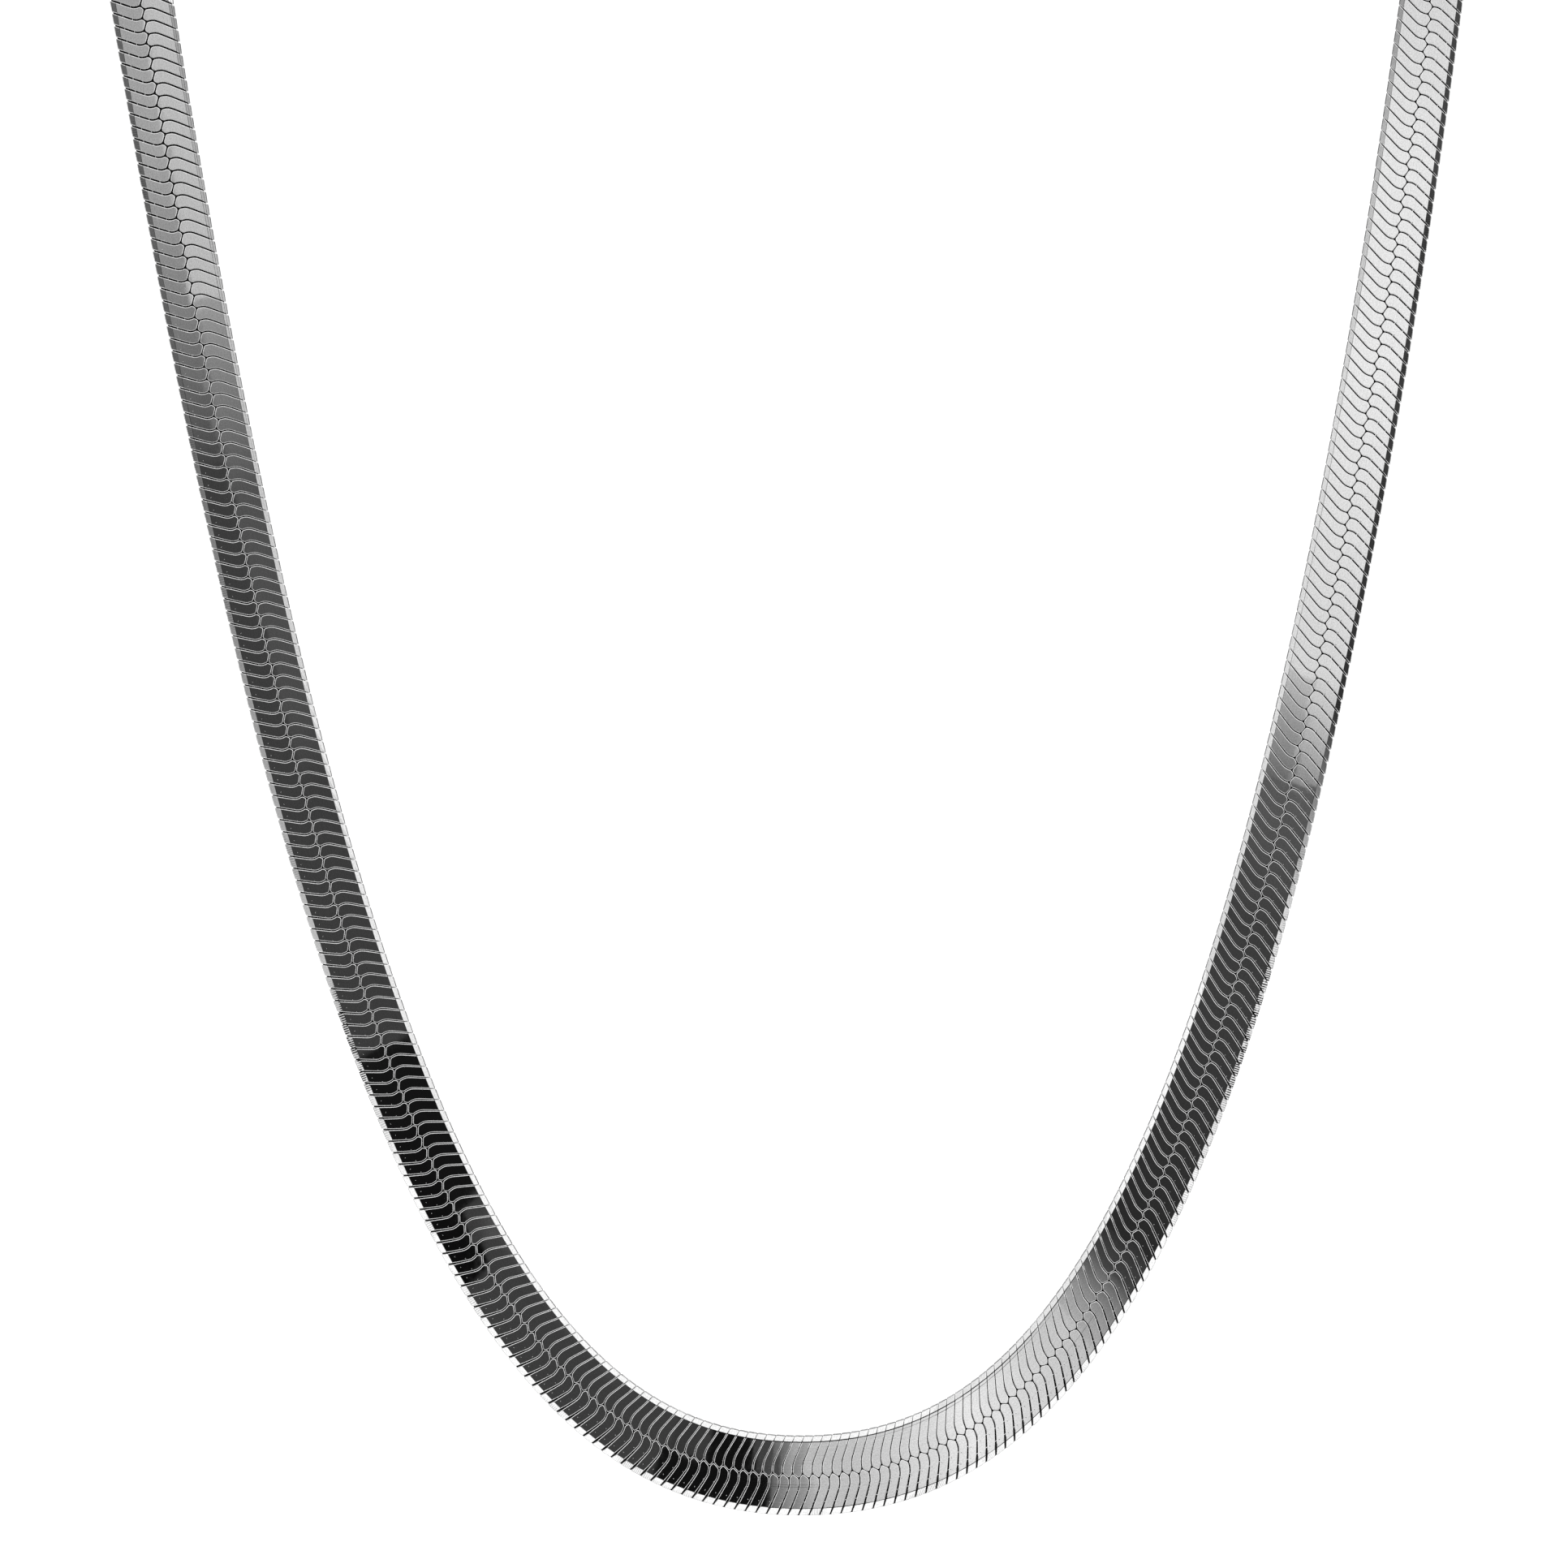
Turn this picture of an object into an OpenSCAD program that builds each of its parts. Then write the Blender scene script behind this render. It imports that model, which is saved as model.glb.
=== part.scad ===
// Flat herringbone neck chain, fastened in a whole loop as it hangs when worn.
// The front stretch hangs in one plane in a deep U, bent on edge. The rest runs up over the
// shoulders and round the nape, where two end caps meet at a clasp.
// Millimetres, +Z up, the wearer faces -Y. The origin is on the nape, behind the clasp.

/* [Front stretch] */
// Height of the front stretch, from its lowest point to where it turns back
front_drop = 142.8; // [120:0.1:160]
// Distance between the middles of the two strands at that height
strand_gap = 124.8; // [116:0.2:132]
// Lean of the strands from upright at that height, in degrees
strand_lean = 8.5; // [5:0.1:12]
// How strongly the band keeps level from its lowest point before it bends up
bottom_reach = 25.8; // [22:0.1:32]
// How strongly each strand keeps straight on its way down before it bends in
strand_reach = 118; // [105:0.5:125]
// Width that the band nears as its strands grow upright
strand_w = 6; // [5:0.05:7.5]
// Width of the band at the lowest point, where its links close up
bottom_w = 7.65; // [6:0.05:9]

/* [Band section] */
// Thickness of the band
band_t = 1.2; // [1:0.05:1.6]
// Width of the bevel along the outer edge, as a share of the band's width
outer_bevel = 0.082; // [0.05:0.002:0.12]
// Width of the bevel along the inner edge, as a share of the band's width
inner_bevel = 0.066; // [0.05:0.002:0.12]
// How far each bevel drops from the face
bevel_d = 0.35; // [0.2:0.05:0.45]

/* [Way round the neck] */
// Distance from the front stretch back to the nape
neck_depth = 85; // [70:1:100]
// Height of the nape above the top of the front stretch
nape_rise = 25; // [15:1:35]
// How strongly the band keeps rising before it bends back over the shoulder
shoulder_reach = 46; // [35:1:55]
// How strongly the band keeps to the nape before it bends forward
nape_reach = 48; // [35:1:55]

/* [End caps] */
// Length of each end cap without its loop
cap_l = 6.3; // [5.5:0.1:9]
// Wall of the sleeve round the band
cap_wall = 0.45; // [0.4:0.05:0.7]
// Depth of the pocket that holds the band's end
pocket_l = 4; // [3:0.1:4.5]
// Width of the cap where its loop joins it
cap_nose_w = 2.6; // [2:0.1:4]
// Radius of the loop to the middle of its wire
loop_r = 1.9; // [1.9:0.05:2.4]
// Radius of the loop's wire
wire_r = 0.35; // [0.3:0.05:0.4]

/* [Clasp] */
// Thickness of the clasp
clasp_t = 1.2; // [1:0.05:1.3]
// Distance from the middle of the clasp to the far side of each of its openings
clasp_reach = 5.2; // [5:0.1:7]
// Radius of the small eye
eye_r = 1; // [0.9:0.05:1.3]
// Radius of the hook's opening
hook_r = 1.7; // [1.5:0.05:2]
// Metal round each opening
clasp_wall = 0.8; // [0.6:0.05:0.9]
// Radius of the rounded thumb tab on the hook
tab_r = 0.9; // [0.6:0.05:1.2]

/* [Fit] */
// Clearance between an end cap's pocket and the band
pocket_gap = 0.1; // [0.05:0.01:0.2]
// Play between a loop's wire and the clasp
loop_play = 0.2; // [0.15:0.05:0.25]

/* [Hidden] */
// Middle of the band's thickness at the nape, so that the loops just clear the neck
nape_y = loop_r + wire_r;
front_y = nape_y - neck_depth;
lowest_z = -nape_rise - front_drop;

// Where the loops and caps come along X, for the right-hand side
loop_x = clasp_reach - loop_play - wire_r + loop_r;
loop_overlap = 0.15;
cap_x = loop_x + loop_r - loop_overlap;
cap_mouth_x = cap_x + cap_l;
pocket_x = cap_mouth_x - pocket_l;
band_end_x = pocket_x + 2 * pocket_gap;

// The right half of the front stretch, from its lowest point to the top of the right strand
front_steps = 66;
strand_top = [strand_gap / 2, front_y, -nape_rise];
strand_rise = [sin(strand_lean), 0, cos(strand_lean)];
front_curve = [
    [0, front_y, lowest_z],
    [bottom_reach, front_y, lowest_z],
    strand_top - strand_reach * strand_rise,
    strand_top
];

// The way from the top of the right strand round to the right cap's mouth
round_steps = 44;
cap_mouth = [cap_mouth_x, nape_y, 0];
round_curve = [
    strand_top,
    strand_top + shoulder_reach * strand_rise,
    cap_mouth + [nape_reach, 0, 0],
    cap_mouth
];
// The way that the band's face looks: forward, then out over the shoulder, then back
front_facing = [0, -1, 0];
shoulder_facing = [0.75, 0, 1.1];
nape_facing = [0, 1, 0];

// The band is wider where it runs sideways, because its links close up there
function band_w(dir) = norm([bottom_w * dir.x, strand_w * dir.z]);
nape_w = band_w(strand_rise);

function unit(v) = v / norm(v);
function square_to(v, dir) = unit(v - (v * dir) * dir);
function curve_point(c, t) =
    pow(1 - t, 3) * c[0] + 3 * pow(1 - t, 2) * t * c[1] + 3 * (1 - t) * t * t * c[2] + pow(t, 3) * c[3];
function curve_dir(c, t) =
    unit(pow(1 - t, 2) * (c[1] - c[0]) + 2 * (1 - t) * t * (c[2] - c[1]) + t * t * (c[3] - c[2]));
function facing(t) =
    pow(1 - t, 2) * front_facing + 2 * t * (1 - t) * shoulder_facing + t * t * nape_facing;

// A station is [middle, direction along the band, way its face looks, width]
function front_station(t) =
    let (dir = curve_dir(front_curve, t))
    [curve_point(front_curve, t), dir, front_facing, band_w(dir)];
function round_station(t) =
    let (dir = curve_dir(round_curve, t))
    [curve_point(round_curve, t), dir, square_to(facing(t), dir), nape_w];
end_station = [[band_end_x, nape_y, 0], [-1, 0, 0], nape_facing, nape_w];
// The same station on the wearer's other side, on a band that is followed the other way
function other_side(st) = [
    [-st[0].x, st[0].y, st[0].z],
    [st[1].x, -st[1].y, -st[1].z],
    [-st[2].x, st[2].y, st[2].z],
    st[3]
];
right_half = concat(
    [for (i = [1 : front_steps]) front_station(i / front_steps)],
    [for (i = [1 : round_steps]) round_station(i / round_steps)],
    [end_station]
);
left_half = [for (i = [len(right_half) - 1 : -1 : 0]) other_side(right_half[i])];
stations = concat(left_half, [front_station(0)], right_half);

// The band's section as [distance outward, height above the middle], grown by a margin
SECTION_POINTS = 8;
function band_section(w, grow = 0) =
    let (half_w = w / 2 + grow, half_t = band_t / 2 + grow)
    let (outer = half_w - outer_bevel * w, inner = half_w - inner_bevel * w, edge = half_t - bevel_d)
    [
        [outer, half_t], [half_w, edge], [half_w, -edge], [outer, -half_t],
        [-inner, -half_t], [-half_w, -edge], [-half_w, edge], [-inner, half_t]
    ];
function section_at(st) =
    let (outward = cross(st[1], st[2]))
    [for (p = band_section(st[3])) st[0] + p.x * outward + p.y * st[2]];

// A closed skin over sections that follow each other
module skin(sections) {
    last = len(sections) - 1;
    points = [for (section = sections) each section];
    sides = [
        for (i = [0 : last - 1])
            for (j = [0 : SECTION_POINTS - 1])
                let (a = i * SECTION_POINTS, b = a + SECTION_POINTS, k = (j + 1) % SECTION_POINTS)
                each [[a + j, b + j, b + k], [a + j, b + k, a + k]]
    ];
    start_face = [for (j = [0 : SECTION_POINTS - 1]) j];
    end_face = [for (j = [SECTION_POINTS - 1 : -1 : 0]) last * SECTION_POINTS + j];
    polyhedron(points = points, faces = concat(sides, [start_face], [end_face]), convexity = 10);
}

// The whole band of closed-up links, from one cap's pocket to the other
module chain() {
    color([0.78, 0.79, 0.8]) skin([for (st = stations) section_at(st)]);
}

// The band's section extruded along X, as it lies at the nape
module nape_bar(x_from, x_to, grow) {
    translate([x_from, nape_y, 0])
        rotate([90, 0, 90])
            linear_extrude(x_to - x_from)
                polygon([for (p = band_section(nape_w, grow)) [p.y, -p.x]]);
}

// A sleeve over the band's end, tapered to a nose that carries a wire loop
module cap() {
    half_w = nape_w / 2 + cap_wall + pocket_gap;
    side_y = band_t / 2 + cap_wall + pocket_gap;
    taper_x = pocket_x - 0.6;
    color([0.74, 0.75, 0.77])
        difference() {
            union() {
                intersection() {
                    nape_bar(cap_x, cap_mouth_x, cap_wall + pocket_gap);
                    translate([0, nape_y + side_y + 1, 0])
                        rotate([90, 0, 0])
                            linear_extrude(2 * side_y + 2)
                                polygon([
                                    [cap_x, -cap_nose_w / 2], [taper_x, -half_w], [cap_mouth_x, -half_w],
                                    [cap_mouth_x, half_w], [taper_x, half_w], [cap_x, cap_nose_w / 2]
                                ]);
                }
                translate([loop_x, nape_y, 0])
                    rotate_extrude($fn = 64)
                        translate([loop_r, 0])
                            circle(r = wire_r, $fn = 32);
            }
            nape_bar(pocket_x, cap_mouth_x + 1, pocket_gap);
        }
}

module end_cap_right() {
    cap();
}

module end_cap_left() {
    mirror([1, 0, 0]) cap();
}

// A flat closed clasp with an eye for the right loop and a hook's opening for the left one
module clasp() {
    eye_x = clasp_reach - eye_r;
    hook_x = hook_r - clasp_reach;
    eye_out = eye_r + clasp_wall;
    hook_out = hook_r + clasp_wall;
    color([0.74, 0.75, 0.77])
        translate([0, nape_y + clasp_t / 2, 0])
            rotate([90, 0, 0])
                linear_extrude(clasp_t)
                    difference() {
                        union() {
                            translate([eye_x, 0]) circle(r = eye_out, $fn = 64);
                            translate([hook_x, 0]) circle(r = hook_out, $fn = 64);
                            polygon([
                                [hook_x, -hook_out], [eye_x, -eye_out],
                                [eye_x, eye_out], [hook_x, hook_out]
                            ]);
                            translate([hook_x + hook_out, hook_out - tab_r / 2])
                                circle(r = tab_r, $fn = 48);
                        }
                        translate([eye_x, 0]) circle(r = eye_r, $fn = 48);
                        translate([hook_x, 0]) circle(r = hook_r, $fn = 48);
                    }
}

chain();
end_cap_left();
end_cap_right();
clasp();
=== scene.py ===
"""Looks of a flat herringbone neck chain, hung in a closed loop as it is worn.

Every S link is made here as two flat tongues with rounded edges, one in each column of the band,
round a dark core, a sheet of painted shade behind the gaps, and fine wires. The sleeve caps and the
clasp keep their CAD shapes. Metres, +Z up, the wearer faces -Y.
"""

import math

import bpy
import numpy as np
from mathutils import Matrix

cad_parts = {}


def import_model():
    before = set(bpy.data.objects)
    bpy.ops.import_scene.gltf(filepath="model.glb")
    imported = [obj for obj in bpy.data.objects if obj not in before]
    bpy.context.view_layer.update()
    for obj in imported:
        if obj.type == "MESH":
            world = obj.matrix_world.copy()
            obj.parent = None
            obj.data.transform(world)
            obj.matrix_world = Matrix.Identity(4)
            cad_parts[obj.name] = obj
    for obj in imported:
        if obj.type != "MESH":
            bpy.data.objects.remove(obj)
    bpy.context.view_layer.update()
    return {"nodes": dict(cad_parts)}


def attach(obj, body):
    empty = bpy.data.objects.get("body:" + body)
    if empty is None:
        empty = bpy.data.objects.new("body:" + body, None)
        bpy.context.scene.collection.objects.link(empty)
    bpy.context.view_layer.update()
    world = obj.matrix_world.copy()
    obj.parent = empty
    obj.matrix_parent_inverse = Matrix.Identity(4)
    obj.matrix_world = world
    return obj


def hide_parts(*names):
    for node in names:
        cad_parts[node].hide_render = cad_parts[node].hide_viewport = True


MM = 0.001
# Places closer than this count as one
HAIR = 1e-6

# The band, with the sizes of its construction
FRONT_DROP = 142.8 * MM
STRAND_GAP = 124.8 * MM
STRAND_LEAN = math.radians(8.5)
BOTTOM_REACH = 25.8 * MM
STRAND_REACH = 118.0 * MM
STRAND_W = 6.0 * MM
BOTTOM_W = 7.65 * MM
BAND_T = 1.2 * MM
OUTER_BEVEL = 0.089
INNER_BEVEL = 0.071
NECK_DEPTH = 85.0 * MM
NAPE_RISE = 25.0 * MM
SHOULDER_REACH = 46.0 * MM
NAPE_REACH = 48.0 * MM
NAPE_Y = 2.25 * MM
CAP_MOUTH_X = 14.6 * MM
BAND_END_X = 10.8 * MM
FRONT_FACING = np.array([0.0, -1.0, 0.0])
SHOULDER_FACING = np.array([0.75, 0.0, 1.1])
NAPE_FACING = np.array([0.0, 1.0, 0.0])

FRONT_Y = NAPE_Y - NECK_DEPTH
LOWEST_Z = -NAPE_RISE - FRONT_DROP
# How many stations each of the path's two curves has
PATH_STEPS = 1600
# The lower curve takes this share of the front stretch's height
LOWER_CURVE_SHARE = 0.35
# The strands look narrower than the bottom by this ratio, and so do the links across them
SIDE_RATIO = STRAND_W / BOTTOM_W

# The links. Pitch and line gap are measured along the band
LINK_PITCH = 1.232 * MM
OUTER_GAP = 0.1 * MM
INNER_GAP = 0.093 * MM
ZIGZAG_GAP = 0.05 * MM
OUTER_END_GAP = 0.12 * MM
LEAST_GAP = 0.045 * MM
# Where the band bends on edge, the gaps at the links' ends open this many times as far as stiff links
# would, and by the square of the distance from the centre line further in
BEND_PLAY = 1.35
# The gaps are wider by this much at the top of the left strand, and by less from the first of these
# link numbers to the second
LEFT_PLAY = 0.05 * MM
LEFT_PLAY_LINKS = (-130, -105)
# The round on each tongue's edges, and the angles of its steps in degrees
EDGE_ROUND = 0.062 * MM
EDGE_ANGLES = (0, 30, 60, 90)
# The centre line zigzags between the two columns, as shares of half the width and of the pitch
ZIGZAG_HALF = 0.062
ZIGZAG_STEP = 0.332
# How a link's line runs across a column. It bends softly at the start, and leans by so many pitches
# over half the width past it. Its peak is in pitches
OUTER_LINE = {"peak": 0.362, "start": 0.278, "blend": 0.035, "lean": 1.52}
INNER_LINE = {"peak": 0.345, "start": 0.3, "blend": 0.055, "lean": 1.75}
# The line's points inside the bevel, as shares of the half width, closer together where it bends
LINE_SHARES = (0.7, 0.55, 0.46, 0.4, 0.34, 0.29, 0.23, 0.16)
# Where the middle of each tongue lies past its link's number, in pitches
OUTER_MIDDLE, INNER_MIDDLE = 0.3, 0.7
# The corners are cut by curves, which take at most this share of the edges beside them
CORNER_CUT = 0.2 * MM
END_CUT = 0.16 * MM
MOST_CUT = 0.45
CORNER_STEPS = (0.0, 0.33, 0.67, 1.0)
# The far corner of each link's end lies this much further in, as a share of the half width
END_SLOPE = 0.012
# How far the links' ends reach, as a share of the band's half width
OUTER_END = 1.02
INNER_END = 1.03
# How far each bevel would drop over half the band's width
OUTER_DROP = 2.134 * MM
INNER_DROP = 2.652 * MM
# Rolled lines and scratches along the band. Each has its share across, its half width in
# millimetres and how dark it is, then the middle and half length of its stretch, in links
BAND_LINES = (
    # On the creases between the face and the bevels
    (1 - 2 * OUTER_BEVEL, 0.045, 0.6, 0, 600),
    (1 - 2 * OUTER_BEVEL, 0.06, 0.4, 20, 30),
    (-1 + 2 * INNER_BEVEL, 0.045, 0.6, 0, 600),
    (-1 + 2 * INNER_BEVEL, 0.075, 0.8, 12, 32),
    # Beside the inner crease and on the inner edge
    (-0.775, 0.05, 0.6, 20, 14),
    (-0.93, 0.045, 0.55, -135, 40),
    (-1.005, 0.06, 0.65, 0, 600),
    # Short scratches on the face
    (0.283, 0.03, 0.55, -1.2, 3.2),
    (0.225, 0.03, 0.55, -1.2, 3.6),
    (0.25, 0.03, 0.55, 30.5, 3),
)
# Spacing of the file teeth and how far they stray from it, and the stretches they are deep on, each
# by its middle and half length in links
TOOTH = 0.225 * MM
TOOTH_STRAY = 0.4 * MM
FILED_STRETCHES = ((-58.5, 5), (58.5, 6.5))
# The punch marks' shares across and steps along each link, and the radii that they fade between
PUNCH_MARKS = ((0.68, 0.62), (0.42, 0.2))
PUNCH_RADII = (0.03 * MM, 0.07 * MM)
# How far out the dark middle sheet of painted shade behind the gaps reaches, in the strands and at the
# bottom
CORE_SHARES = (0.95, 1.0)
CORE_HALF_T = 0.12 * MM
# The fine wires that hold the links together show in the gaps at these shares across
WIRE_SHARES = (0.66, 0.37)
WIRE_RADIUS = 0.055 * MM
WIRE_SIDES = 6
# Depth of the wires' middles under the face
WIRE_DEPTH = 0.13 * MM
# Small errors of setting, in degrees: across the band and along it
LOOSE_ROLL, LOOSE_TILT = 0.012, 0.022

# The camera looks square at the front stretch and crops the strands. The band's lowest point comes
# at this column and row of the photo
PIXEL = 0.0785 * MM
FRAME_PIXELS = 1932
MIDDLE_PX, LOWEST_PX = 992.8, 1818.3
CAMERA_ROLL = 0.0123
FRAME_W = FRAME_PIXELS * PIXEL
CAMERA_AWAY = 1.2
CAMERA_Y = FRONT_Y - CAMERA_AWAY
# Width of the camera's sensor in millimetres, and how far it sees in metres
SENSOR = 36.0
CLIP_END = 20
# The floor lies well below the chain, with the low cards just over it
FLOOR_Z = LOWEST_Z - 0.13
FLOOR_HALF = 1.2
LOW_Z = FLOOR_Z + 0.005
# Light of the room
WORLD_LIGHT = 1.14

PIECES = ["strand_left", "strand_right", "lower_curve", "shoulder_left", "shoulder_right"]


# The band's path


def unit(v):
    return v / np.linalg.norm(v, axis=-1, keepdims=True)


def curve(c):
    """Steps, places and directions along a cubic curve with four control points."""
    t = np.linspace(0, 1, PATH_STEPS)[:, None]
    places = (1 - t) ** 3 * c[0] + 3 * (1 - t) ** 2 * t * c[1] + 3 * (1 - t) * t**2 * c[2] + t**3 * c[3]
    along = unit((1 - t) ** 2 * (c[1] - c[0]) + 2 * (1 - t) * t * (c[2] - c[1]) + t**2 * (c[3] - c[2]))
    return t, places, along


def true_direction(along):
    """The band's direction in the front plane before the sideways ratio."""
    return unit(np.stack([along[:, 0] / SIDE_RATIO, along[:, 2]], 1))


def right_path():
    """Stations from the lowest point up the right strand and round to the band's end in the right cap.

    Each has its middle, direction, facing and reach, which goes from the middle to the outer edge.
    """
    top = np.array([STRAND_GAP / 2, FRONT_Y, -NAPE_RISE])
    rise = np.array([math.sin(STRAND_LEAN), 0, math.cos(STRAND_LEAN)])
    lowest = np.array([0, FRONT_Y, LOWEST_Z])
    mouth = np.array([CAP_MOUTH_X, NAPE_Y, 0])

    front_points = [lowest, lowest + [BOTTOM_REACH, 0, 0], top - STRAND_REACH * rise, top]
    _, front, front_along = curve(front_points)
    true = true_direction(front_along)
    # The links were set square to the band before the sideways ratio, so they slant a little after it
    front_reach = BOTTOM_W / 2 * np.stack([SIDE_RATIO * true[:, 1], 0 * true[:, 0], -true[:, 0]], 1)
    half_w = front_reach[-1] @ np.cross(rise, FRONT_FACING)
    slant = (front_reach[-1] @ rise) / half_w

    back_points = [top, top + SHOULDER_REACH * rise, mouth + [NAPE_REACH, 0, 0], mouth]
    t, back, back_along = curve(back_points)
    wish = (1 - t) ** 2 * FRONT_FACING + 2 * t * (1 - t) * SHOULDER_FACING + t**2 * NAPE_FACING
    back_facing = unit(wish - (wish * back_along).sum(1, keepdims=True) * back_along)
    back_reach = half_w * (np.cross(back_along, back_facing) + slant * (1 - t) ** 2 * back_along)

    end = np.array([[BAND_END_X, NAPE_Y, 0]])
    middle = np.concatenate([front, back[1:], end])
    along = np.concatenate([front_along, back_along[1:], [[-1.0, 0, 0]]])
    facing = np.concatenate([np.tile(FRONT_FACING, (len(front), 1)), back_facing[1:], [NAPE_FACING]])
    reach = np.concatenate([front_reach, back_reach[1:], back_reach[-1:]])
    return middle, along, facing, reach


def band_path():
    """The whole band from its left end to its right one, with each link's place on it."""
    # The left half is the right one's mirror image, followed the other way
    mirror, mirror_back = np.array([-1, 1, 1]), np.array([1, -1, -1])
    turns = (mirror, mirror_back, mirror, mirror)
    halves = zip(right_path(), turns)
    middle, along, facing, reach = [np.concatenate([part[:0:-1] * turn, part]) for part, turn in halves]
    steps = np.linalg.norm(np.diff(middle, axis=0), axis=1)
    # Links close up where the band runs sideways in front, and keep the strands' pitch further round
    in_front = np.abs(middle[:, 1] - FRONT_Y) < HAIR
    stretch = np.hypot(along[:, 0] / SIDE_RATIO, along[:, 2])
    stretch = np.where(in_front, stretch, stretch[in_front][0])
    links = np.concatenate([[0], np.cumsum(steps * (stretch[1:] + stretch[:-1]) / 2)])
    links -= links[-1] / 2
    # How sharply the row of links bends on edge, which fans it open on the outer side
    true = true_direction(along)
    angle = np.unwrap(np.arctan2(true[:, 1], true[:, 0]))
    bend = np.where(in_front, np.gradient(angle) / np.gradient(links), 0)
    return {
        "links": links, "middle": middle, "along": along, "facing": facing,
        "reach": reach, "bend": bend, "stretch": stretch,
    }


def at(path, key, link_distance):
    """A vector or value of the path at a distance along the row of links."""
    values = path[key]
    if values.ndim == 1:
        return np.interp(link_distance, path["links"], values)
    return np.stack([np.interp(link_distance, path["links"], values[:, i]) for i in range(3)], -1)


# The links' outlines


def line_offset(line, across):
    """How far a link's line lies along the band, in pitches, at a share of the half width."""
    soft = line["blend"] * np.log1p(np.exp((across - line["start"]) / line["blend"]))
    return line["peak"] - line["lean"] * soft


def tongue_outline(outer):
    """One tongue as (pitches along, signed share of the half width), with its crease, gaps and cuts.

    It runs down its first line from the band's edge, round its tip on the zigzag and back up the next
    line. The crease is the pair of points where the bevel starts. The gaps are one for each edge of
    the outline, and the cuts say how much of each corner is rounded off.
    """
    bevel, gap = (OUTER_BEVEL, OUTER_GAP) if outer else (INNER_BEVEL, INNER_GAP)
    end = OUTER_END if outer else INNER_END
    across = np.array([end, 1 - 2 * bevel, *LINE_SHARES])
    z, step = ZIGZAG_HALF, ZIGZAG_STEP
    if outer:
        first = np.stack([line_offset(OUTER_LINE, across), across], 1)
        tip = np.array([[step, z], [1 - step, -z], [1 + step, z]])
    else:
        first = np.stack([-line_offset(INNER_LINE, across), -across], 1)
        tip = np.array([[-step, -z], [step, z], [1 - step, -z]])
    second = first[::-1] + [1, 0]
    second[-1] *= [1, 1 - END_SLOPE]
    outline = np.concatenate([first, tip, second])
    corners, tip_start = len(outline), len(first)
    gaps = np.full(corners, gap)
    gaps[tip_start:tip_start + 2] = ZIGZAG_GAP
    if outer:
        gaps[[0, -2]] = OUTER_END_GAP
    gaps[-1] = 0
    cuts = np.zeros(corners)
    cuts[tip_start:tip_start + 3] = CORNER_CUT
    cuts[[0, -1]] = END_CUT
    return outline, (1, corners - 2), gaps, cuts


def round_corners(points, cuts):
    """Closed flat outlines whose marked corners are cut by short curves.

    points is (tongues, corners, 2), and cuts says how much is cut off each corner.
    """
    out = []
    for i, cut in enumerate(cuts):
        p = points[:, i]
        if not cut:
            out.append(p)
            continue
        before, after = points[:, i - 1] - p, points[:, (i + 1) % len(cuts)] - p
        a = p + before * np.minimum(MOST_CUT, cut / np.linalg.norm(before, axis=-1, keepdims=True))
        b = p + after * np.minimum(MOST_CUT, cut / np.linalg.norm(after, axis=-1, keepdims=True))
        out += [(1 - t) ** 2 * a + 2 * t * (1 - t) * p + t * t * b for t in CORNER_STEPS]
    return np.stack(out, 1)


def inset(points, distances, crease):
    """A closed flat outline moved inwards, each edge by about its own distance, with its points kept.

    points is (tongues, corners, 2) and distances the same without the 2, one for each edge from its
    corner. The crease's points slide along the band, so that the crease stays straight.
    """
    edge = unit(np.roll(points, -1, axis=1) - points)
    x, y = points[..., 0], points[..., 1]
    area = (x * np.roll(y, -1, 1) - y * np.roll(x, -1, 1)).sum(1)
    turn = np.where(area > 0, 1.0, -1.0)[:, None, None]
    inward = np.stack([-edge[..., 1], edge[..., 0]], -1) * turn
    both = inward + np.roll(inward, 1, axis=1)
    total = (distances + np.roll(distances, 1, axis=1))[..., None]
    move = both / (both**2).sum(-1, keepdims=True) * total
    for i in crease:
        slide = total[:, i, 0] / 2 / unit(both[:, i])[:, 0]
        move[:, i] = np.stack([slide, 0 * slide], -1)
    return points + move


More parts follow.
